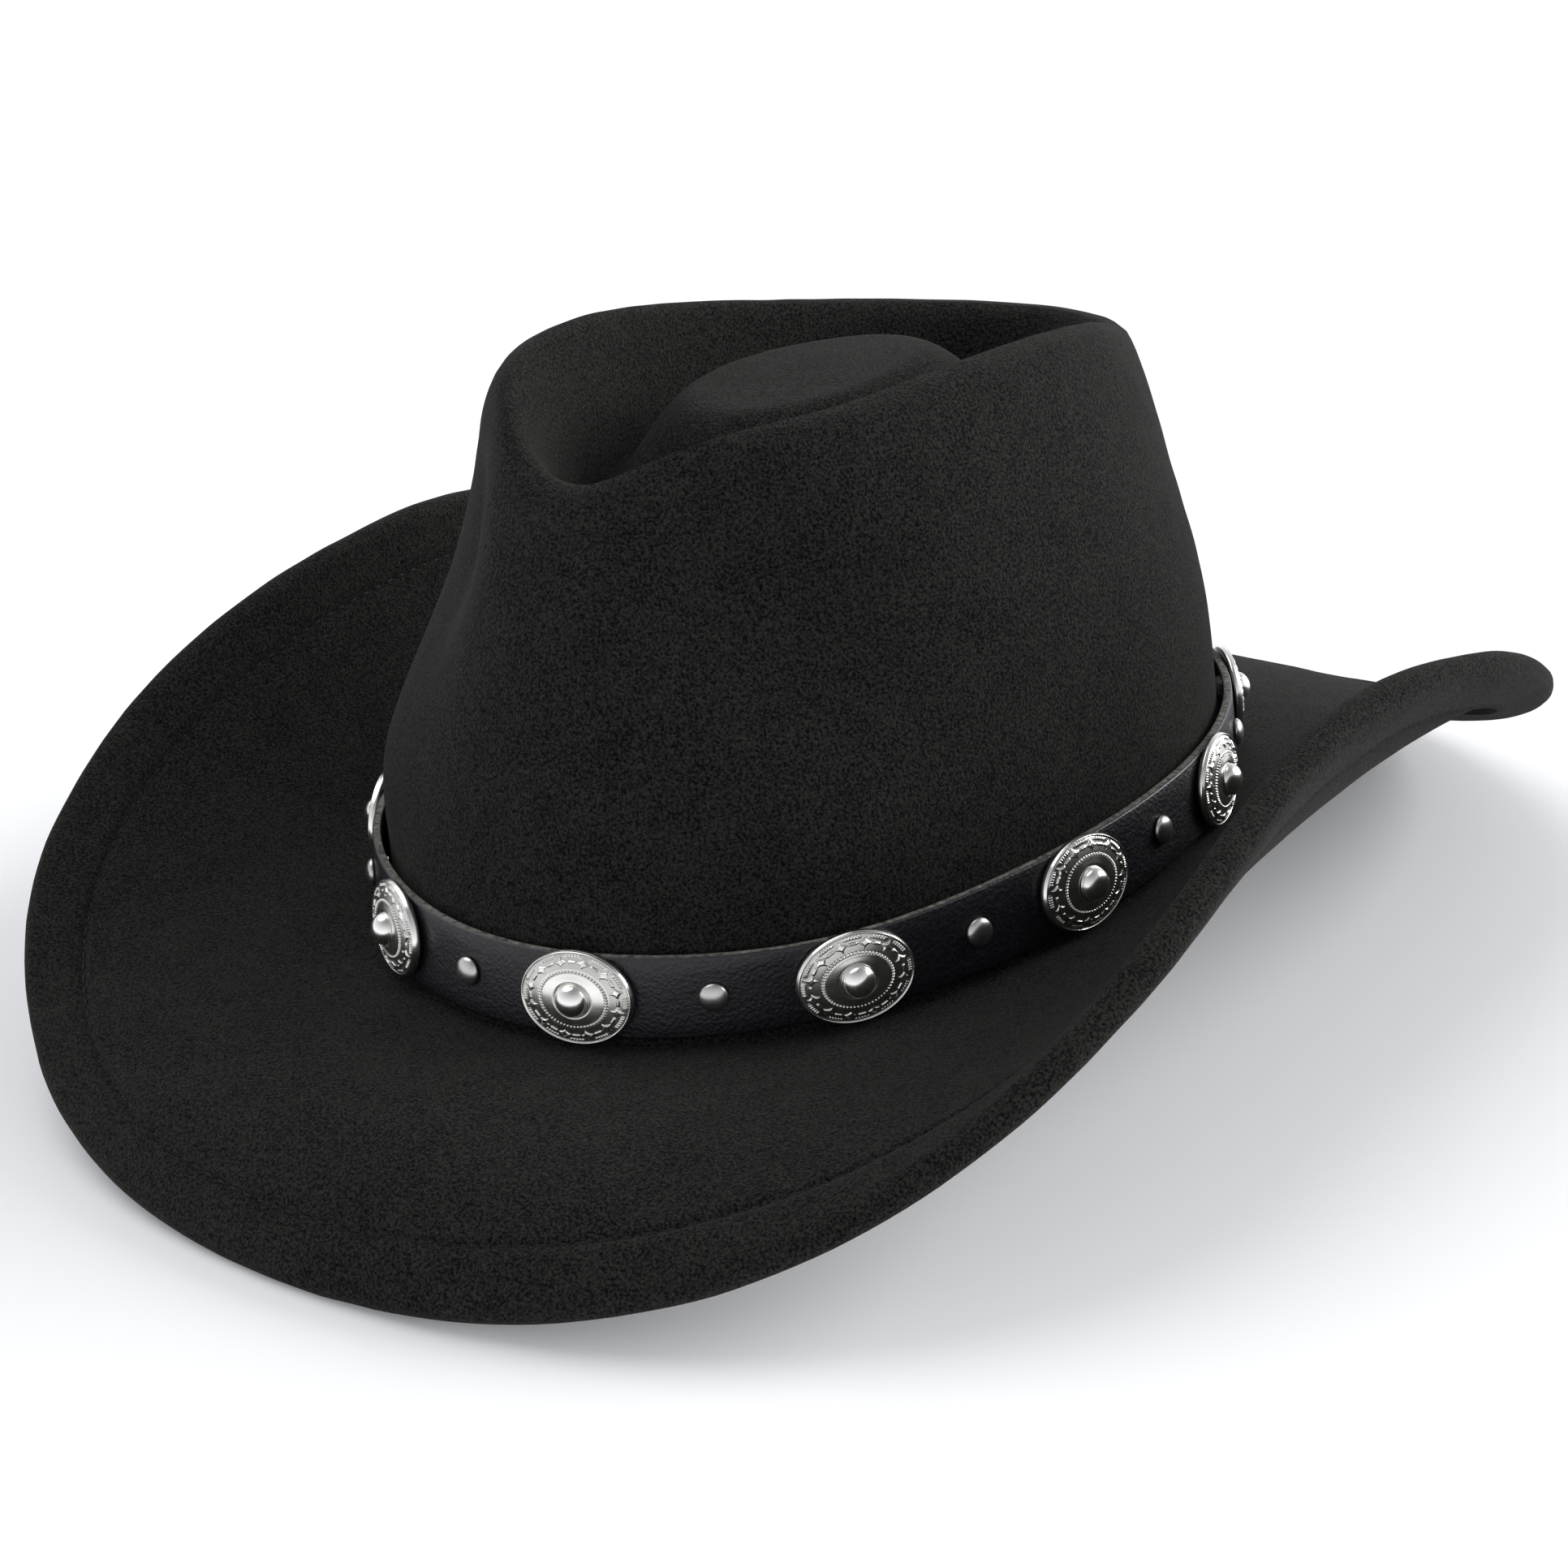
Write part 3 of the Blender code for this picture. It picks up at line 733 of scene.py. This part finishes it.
class BandPath:
    """The way round the crown's foot, measured from the front."""

    def __init__(self):
        self.angles = np.linspace(-2 * pi, 2 * pi, 2881)
        steps = np.linalg.norm(np.diff(oval(self.angles)[0], axis=0), axis=1)
        self.lengths = np.concatenate([[0], np.cumsum(steps)])
        self.lengths -= self.lengths[len(self.lengths) // 2]
        self.round = self.lengths[-1]
        self.pitch = self.round / CONCHOS
        self.join = FIRST_CONCHO + 6 * self.pitch

    def place(self, length, height, offset):
        """Points beside the crown, on the outer lap where the strap overlaps itself."""
        length = np.atleast_1d(np.asarray(length, float))
        start = self.join - OVERLAP / 2 - RAMP
        lift = (STRAP_THICK + GAP) * smooth(start, start + RAMP, length)
        return wall_at(np.interp(length, self.lengths, self.angles), height, offset + lift)

    def frame(self, length, offset):
        """Matrix that sets a piece on the strap's face."""
        middle = STRAP_FOOT + STRAP_WIDTH / 2
        if length > self.join + OVERLAP / 2:
            length -= self.round
        back = STRAP_STANDOFF
        here = self.place(length, middle, back)[0]
        along = self.place(length + 1, middle, back)[0] - self.place(length - 1, middle, back)[0]
        upward = self.place(length, middle + 4, back)[0] - self.place(length, middle - 4, back)[0]
        x = Vector(along).normalized()
        z = x.cross(Vector(upward)).normalized()
        turn = Matrix((x, z.cross(x), z)).transposed().to_4x4()
        shift = Matrix.Translation((0, 0, (offset - back) * METRE))
        return Matrix.Translation(Vector(here) * METRE) @ turn @ shift


path = BandPath()
print("strap goes round", round(path.round), "mm, one concho every", round(path.pitch, 1), "mm")

# %% [markdown]
# ## Strap
# The strap is cut from 2 mm leather. Its face turns over slightly at the cut edges, so the section is
# a rectangle with small round corners, and the narrow top and bottom faces show the bare edge.

# %% Make the strap
EDGE_ROUND = 0.45
# Strips of the section's outline at the strap's bottom and top that show the bare cut.
BARE_STRIPS = {2, 3, 15, 16}


def make_strap():
    first = path.join - path.round - OVERLAP / 2
    stations = np.linspace(first, path.join + OVERLAP / 2, 520)
    low, high = STRAP_FOOT, STRAP_FOOT + STRAP_WIDTH
    near, far = STRAP_STANDOFF, STRAP_STANDOFF + STRAP_THICK
    r = EDGE_ROUND
    bends = [radians(a) for a in (0, 30, 60, 90)]
    section = [(low + r - r * cos(a), near + r - r * sin(a)) for a in reversed(bends)]
    section += [(low + r - r * cos(a), far - r + r * sin(a)) for a in bends]
    section += [(low + STRAP_WIDTH * t, far + 0.08) for t in (0.2, 0.4, 0.6, 0.8)]
    section += [(high - r + r * cos(a), far - r + r * sin(a)) for a in reversed(bends)]
    section += [(high - r + r * cos(a), near + r - r * sin(a)) for a in bends]
    section += [(low + STRAP_WIDTH * t, near) for t in (0.75, 0.5, 0.25)]
    size = len(section)
    lines = np.array([path.place(stations, height, offset) for height, offset in section])
    points = lines.transpose(1, 0, 2).reshape(-1, 3)
    faces = grid_faces(len(stations), size).tolist()
    faces.append(list(range(size)))
    faces.append([(len(stations) - 1) * size + k for k in range(size)])
    strap = mesh_from("leather_strap", points, faces, [LEATHER, CUT_EDGE])
    for face in strap.data.polygons[:-2]:
        lowest = min(v % size for v in face.vertices)
        across = max(v % size for v in face.vertices) - lowest
        face.material_index = int(lowest in BARE_STRIPS and across == 1)
    for face in strap.data.polygons[-2:]:
        face.material_index = 1
    return strap


strap = make_strap()
settle(strap, "band", "leather", "hat_band")
print("strap:", len(strap.data.polygons), "faces")

# %% [markdown]
# ## Conchos
# A concho is a cast oval shell, gently domed, so its upper half mirrors the sky and its lower half the
# dark brim. Its relief is fine: a plain rim, a ring of hatched bars, a ring of four-armed stars with
# dashes between them, a rope ring of small beads, a smooth field and a round polished dome. The relief is
# worked out on a fine polar grid, so that it is real shape and not only shading. On top of it, painted
# shade darkens the silver between the raised parts, in the cut lines and round the dome.

# %% Concho sizes
CONCHO_HALF = np.array([12.25, 9.75])
EDGE_HEIGHT, FACE_RISE = 1.35, 2.2
# (inset, height) of the shell's edge, from its back up to the face.
EDGE_PROFILE = ((0.5, 0.0), (0.12, 0.15), (0.0, 0.5), (0.0, 0.95), (0.06, 1.2), (0.16, 1.33))
CONCHO_TURNS = 432
MOTIFS, TEETH, BEADS = 12, 108, 60
# Where the rings of the relief lie, as shares of the way from the middle to the edge.
RIM_RING, LINE_RING, BAR_RING, STAR_RING, ROPE_RING = 0.972, 0.945, 0.900, 0.785, 0.592
RELIEF, LINE_DEPTH, MOAT_DEPTH = 0.3, 0.10, 0.15
FIELD_SHARE, DOME_SHARE, DOME_RADIUS, DOME_HEIGHT = 0.5, 0.3, 3.5, 2.7
print("concho:", (2 * CONCHO_HALF).tolist(), "mm, relief", RELIEF, "mm deep")


def ridge(value, centre, half, soft):
    """1 inside a band and 0 outside, with soft shoulders."""
    return smooth(half + soft, half - soft, np.abs(value - centre))


def ring_half(share):
    """Half width and half height of the ring at that share: oval outside, round at the dome."""
    if share >= FIELD_SHARE:
        return CONCHO_HALF * share
    if share <= DOME_SHARE:
        return np.full(2, DOME_RADIUS * share / DOME_SHARE)
    way = (share - DOME_SHARE) / (FIELD_SHARE - DOME_SHARE)
    return DOME_RADIUS + (CONCHO_HALF * FIELD_SHARE - DOME_RADIUS) * way


# %% Concho relief
def concho_height(share, turn):
    """Height of the face in millimetres, and the painted shade of its recesses, over share and turn."""
    face = EDGE_HEIGHT + FACE_RISE * (1 - share**2)
    pitch = 2 * pi / MOTIFS
    swing = (turn + pitch / 2) % pitch - pitch / 2
    swing_between = turn % pitch - pitch / 2
    mean = CONCHO_HALF.mean()
    rim = ridge(share, RIM_RING, 0.014, 0.008)
    teeth = 0.55 + 0.45 * np.cos(turn * TEETH)
    bars = ridge(share, BAR_RING, 0.030, 0.010) * ridge(np.abs(swing), 0, 0.165, 0.02) * teeth
    across, along = np.abs(swing_between) * share * mean, np.abs(share - STAR_RING) * mean
    star = smooth(1.15, 0.85, (across / 1.4) ** 0.62 + (along / 1.1) ** 0.62)
    dash = ridge(share, STAR_RING, 0.018, 0.010) * ridge(np.abs(swing), 0, 0.085, 0.02)
    rope = ridge(share, ROPE_RING, 0.020, 0.012) * (0.5 + 0.5 * np.cos(turn * BEADS))
    raised = np.clip(rim + bars + star + dash + rope, 0, 1)
    lines = ridge(share, LINE_RING, 0.003, 0.010) + 0.7 * ridge(share, ROPE_RING, 0.030, 0.010) * (1 - rope)
    ground = ridge(share, 0.79, 0.15, 0.01) * (1 - raised)
    dome = np.sqrt(np.clip(1 - (share / DOME_SHARE) ** 2, 0, 1))
    moat = bell(share, DOME_SHARE + 0.02, 0.02)
    height = face + RELIEF * raised - LINE_DEPTH * np.clip(lines, 0, 1)
    height = height + DOME_HEIGHT * dome - MOAT_DEPTH * moat
    # Painted shade: the ground between the raised parts, the cut lines and the moat round the dome are
    # drawn darker.
    painted_recess_shade = np.clip(0.5 * ground + lines + 0.8 * moat, 0, 1)
    return height, painted_recess_shade


heights = [float(concho_height(share, np.zeros(1))[0][0]) for share in (RIM_RING, FIELD_SHARE, 0.0)]
print("concho's rim, field and dome stand", [round(h, 2) for h in heights], "mm high")


# %% Concho mesh
def concho_mesh():
    """Points, faces and painted recess shade of one concho, from its back's edge up and in to its middle.
    """
    turns = np.linspace(0, 2 * pi, CONCHO_TURNS, endpoint=False)
    rows, dark = [], []
    for inset, height in EDGE_PROFILE:
        half = CONCHO_HALF - inset
        level = np.full_like(turns, height)
        rows.append(np.column_stack([half[0] * np.cos(turns), half[1] * np.sin(turns), level]))
        dark.append(0 * turns)
    lean = np.linspace(pi / 2, 0.06, 16)
    shares = np.concatenate([np.linspace(0.984, 0.55, 46), np.linspace(0.53, 0.34, 8),
                             np.linspace(0.33, 0.305, 4), DOME_SHARE * np.sin(lean)])
    for share in shares:
        height, painted_recess_shade = concho_height(share, turns)
        half = ring_half(share)
        rows.append(np.column_stack([half[0] * np.cos(turns), half[1] * np.sin(turns), height]))
        dark.append(painted_recess_shade)
    grid = np.array(rows)
    points = [*grid.reshape(-1, 3), grid[-1].mean(0), (0, 0, 0)]
    top, back, end = len(points) - 2, len(points) - 1, (len(rows) - 1) * CONCHO_TURNS
    faces = grid_faces(len(rows), CONCHO_TURNS).tolist()
    for i in range(CONCHO_TURNS):
        j = (i + 1) % CONCHO_TURNS
        faces.append((top, end + i, end + j))
        faces.append((back, j, i))
    return points, faces, np.concatenate([*dark, [0.0, 0.0]])


def make_conchos():
    points, faces, dark = concho_mesh()
    for i in range(CONCHOS):
        number = f"{i + 1:02d}"
        concho = mesh_from(f"silver_concho_{number}", points, faces, [SILVER])
        # The painted shade of the recesses goes on as a mesh attribute that the silver reads.
        shade = concho.data.attributes.new("painted_recess_shade", "FLOAT", "POINT")
        shade.data.foreach_set("value", dark.astype(np.float32))
        at = FIRST_CONCHO + (i - 4) * path.pitch
        concho.matrix_world = path.frame(at, STRAP_STANDOFF + STRAP_THICK + GAP)
        settle(concho, "band", "silver", f"concho_{number}")
    print(CONCHOS, "conchos of", len(faces), "faces")


make_conchos()

# %% [markdown]
# ## Rivets and posts
# Halfway between the conchos sit small domed rivet caps, pressed from nickel-plated brass. A cap is a
# low dome with a narrow turned-in foot. The posts behind them and the concho screws stay as the CAD
# has them, hidden between strap and felt, and get the same nickel.

# %% Rivet caps
RIVET_RADIUS, RIVET_HEIGHT, RIVET_FOOT = 3.0, 1.85, 0.3
RIVET_SIDES = 48


def rivet_profile():
    """(radius, height) from the foot's inner edge over the dome."""
    profile = [(RIVET_RADIUS - 0.5, 0.0), (RIVET_RADIUS - 0.1, 0.05), (RIVET_RADIUS, RIVET_FOOT)]
    for lean in np.linspace(0.12, 1.48, 14):
        profile.append((RIVET_RADIUS * cos(lean), RIVET_FOOT + (RIVET_HEIGHT - RIVET_FOOT) * sin(lean)))
    return profile


def make_rivet_caps():
    turns = np.linspace(0, 2 * pi, RIVET_SIDES, endpoint=False)
    rows = [np.column_stack([r * np.cos(turns), r * np.sin(turns), np.full(RIVET_SIDES, h)])
            for r, h in rivet_profile()]
    points = [*np.concatenate(rows), (0, 0, RIVET_HEIGHT), (0, 0, 0)]
    faces = grid_faces(len(rows), RIVET_SIDES).tolist()
    top, back, end = len(points) - 2, len(points) - 1, (len(rows) - 1) * RIVET_SIDES
    for i in range(RIVET_SIDES):
        j = (i + 1) % RIVET_SIDES
        faces.append((top, end + i, end + j))
        faces.append((back, j, i))
    for i in range(CONCHOS):
        number = f"{i + 1:02d}"
        cap = mesh_from(f"nickel_rivet_{number}", points, faces, [NICKEL])
        at = FIRST_CONCHO + (i - 3.5) * path.pitch
        cap.matrix_world = path.frame(at, STRAP_STANDOFF + STRAP_THICK + GAP)
        settle(cap, "band", "nickel", f"rivet_cap_{number}")
    print(CONCHOS, "rivet caps of", len(faces), "faces")


make_rivet_caps()
for name, solid in frame["nodes"].items():
    if name.startswith(("concho_screw", "rivet_post")):
        solid.material_slots[0].material = NICKEL

# %% [markdown]
# ## Floor and light
# The hat stands on a seamless white sweep. A white sky lights it from all round, brighter at the
# horizon than overhead. A broad key light stands high on the hat's right, and a rim light behind it, on
# its left, picks out the felt's edges. The floor is near white and glows faintly, which keeps the
# shadows pale and lets it run into the background.

# %% Floor
FLOOR_HALF, FLOOR_DROP, FLOOR_GLOW = 6.0, 0.0004, 0.10


def make_floor():
    mesh = bpy.data.meshes.new("floor")
    corners = [(x * FLOOR_HALF, y * FLOOR_HALF, 0) for x, y in ((-1, -1), (1, -1), (1, 1), (-1, 1))]
    mesh.from_pydata(corners, [], [(0, 1, 2, 3)])
    made = new_material(
        "white_sweep",
        Base_Color=linear("#f4f4f5"),
        Roughness=0.9,
        Specular_IOR_Level=0.1,
        Emission_Color=linear("#f6f9ff"),
        Emission_Strength=FLOOR_GLOW,
    )[0]
    mesh.materials.append(made)
    floor = bpy.data.objects.new("floor", mesh)
    floor.location.z = -FLOOR_DROP
    bpy.context.collection.objects.link(floor)
    return floor


make_floor()
print("floor:", 2 * FLOOR_HALF, "m square")

# %% Sky and lights
SKY_STRENGTH = 1.15

sky = bpy.data.worlds.new("white_studio")
sky.use_nodes = True
aim = node(sky.node_tree, "ShaderNodeTexCoord")
height = node(sky.node_tree, "ShaderNodeSeparateXYZ", links={"Vector": aim.outputs["Generated"]})
fade = node(sky.node_tree, "ShaderNodeMixRGB",
            inputs={"Color1": linear("#fbfcff"), "Color2": linear("#77787b")},
            links={"Fac": height.outputs["Z"]})
sky.node_tree.links.new(fade.outputs["Color"], sky.node_tree.nodes["Background"].inputs["Color"])
sky.node_tree.nodes["Background"].inputs["Strength"].default_value = SKY_STRENGTH
scene.world = sky


def add_sun(name, strength, spread, towards):
    """A broad, soft light; towards points from the hat to it, and spread is its width in the sky."""
    lamp = bpy.data.lights.new(name, "SUN")
    lamp.energy, lamp.angle = strength, radians(spread)
    sun = bpy.data.objects.new(name, lamp)
    sun.rotation_euler = Vector(towards).to_track_quat("Z", "Y").to_euler()
    bpy.context.collection.objects.link(sun)


add_sun("key", strength=1.1, spread=50, towards=(-0.62, 0.05, 1.1))
add_sun("rim", strength=2.7, spread=40, towards=(0.7, 1.0, 0.5))
print("lights:", [light.name for light in bpy.data.lights])

# %% [markdown]

# %% Import json
import json
